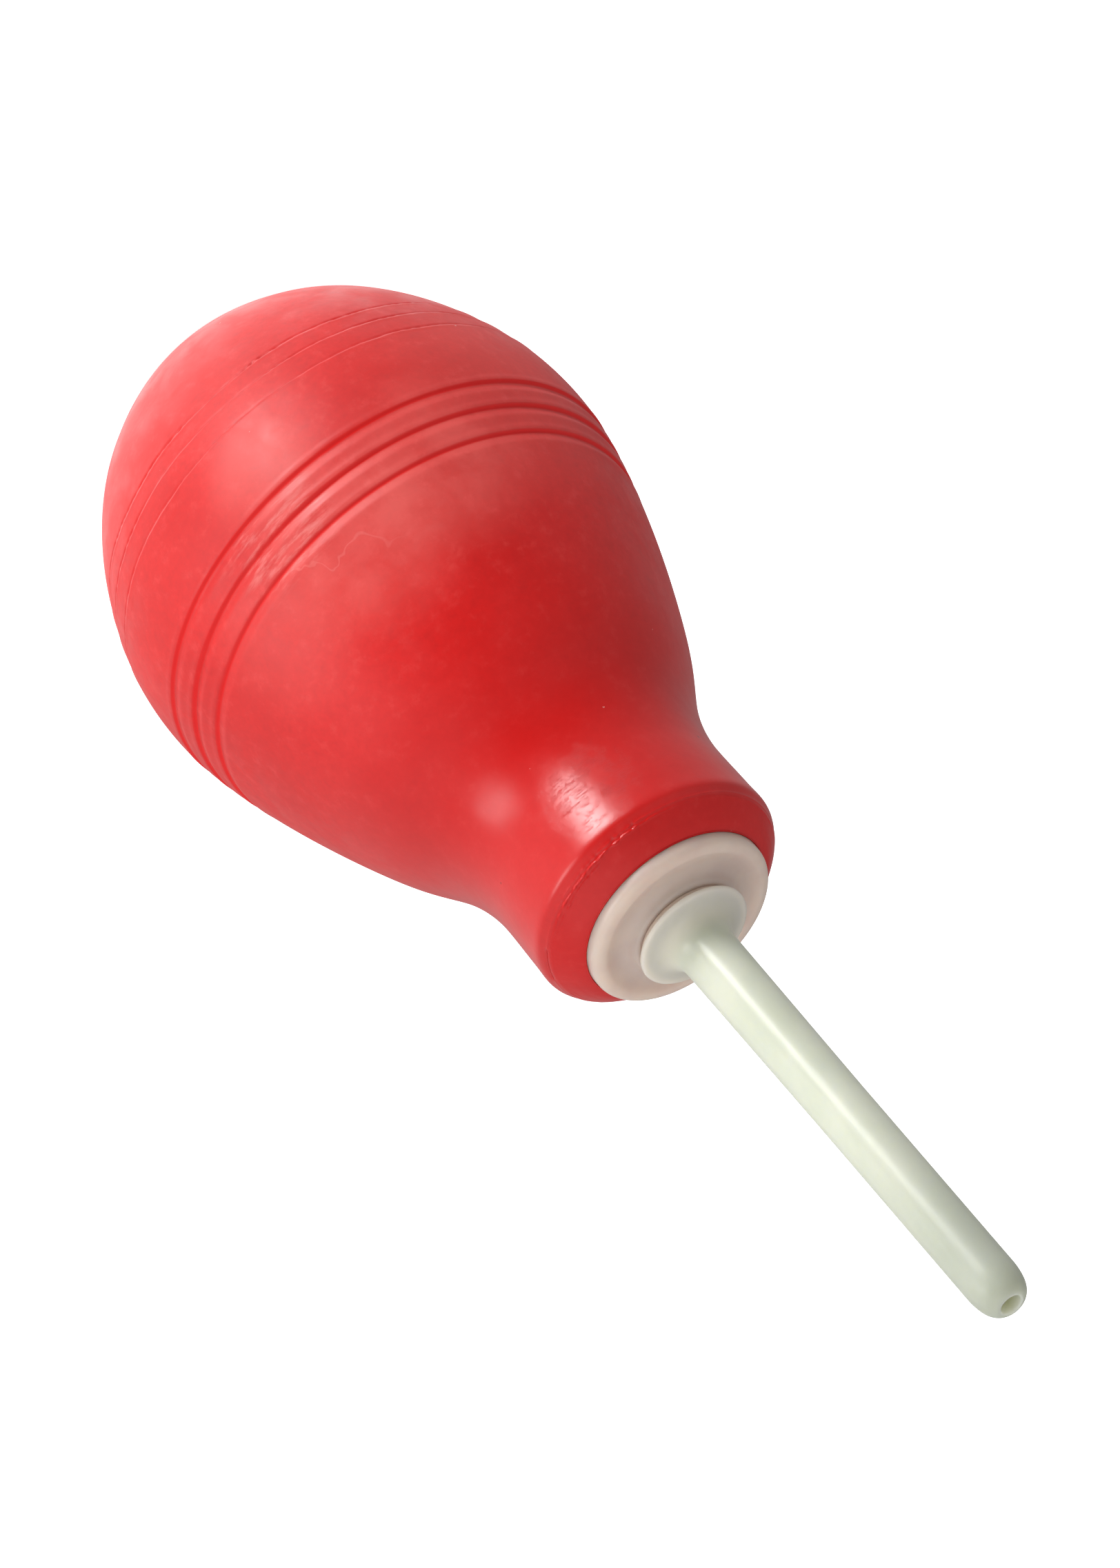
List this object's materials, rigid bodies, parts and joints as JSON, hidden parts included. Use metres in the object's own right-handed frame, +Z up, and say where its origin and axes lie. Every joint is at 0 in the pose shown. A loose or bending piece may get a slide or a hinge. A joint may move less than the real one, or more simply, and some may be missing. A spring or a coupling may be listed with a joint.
{
  "type": "bulb syringe",
  "caption": "Rubber squeeze bulb on a small flat base, with a plastic insert in its thick neck and a long plastic nozzle that unscrews.",
  "frame": {"origin": "centre of the bulb's flat base", "axes": "+Z up along the bulb's axis, towards the nozzle's tip; the part is round about Z"},
  "size_m": [0.075, 0.075, 0.204],
  "materials": {
    "bulb_rubber": "satin",
    "insert_plastic": "satin",
    "washer_rubber": "matte",
    "nozzle_plastic": "satin"
  },
  "bodies": {
    "bulb": {"bulb": "bulb_rubber"},
    "neck_fitting": {"neck_insert": "insert_plastic"},
    "washer": {"sealing_washer": "washer_rubber"},
    "nozzle": {"nozzle": "nozzle_plastic"}
  },
  "joints": [
    {"name": "bulb_squeeze", "type": "slide", "parent": "bulb", "child": "neck_fitting", "axis": [0, 0, -1], "range_m": [0, 0.03], "stiffness_N_per_m": 900, "deforming": ["bulb"]},
    {"name": "washer_lift", "type": "slide", "parent": "neck_fitting", "child": "washer", "axis": [0, 0, 1], "range_m": [0, 0.009]},
    {"name": "nozzle_turn", "type": "hinge", "parent": "washer", "child": "nozzle", "pos_m": [0, 0, 0.123], "axis": [0, 0, 1], "range_deg": [0, 1085]}
  ],
  "couplings": [
    {"joint": "nozzle_turn", "follows": "washer_lift", "rad_per_m": 2094.4}
  ]
}
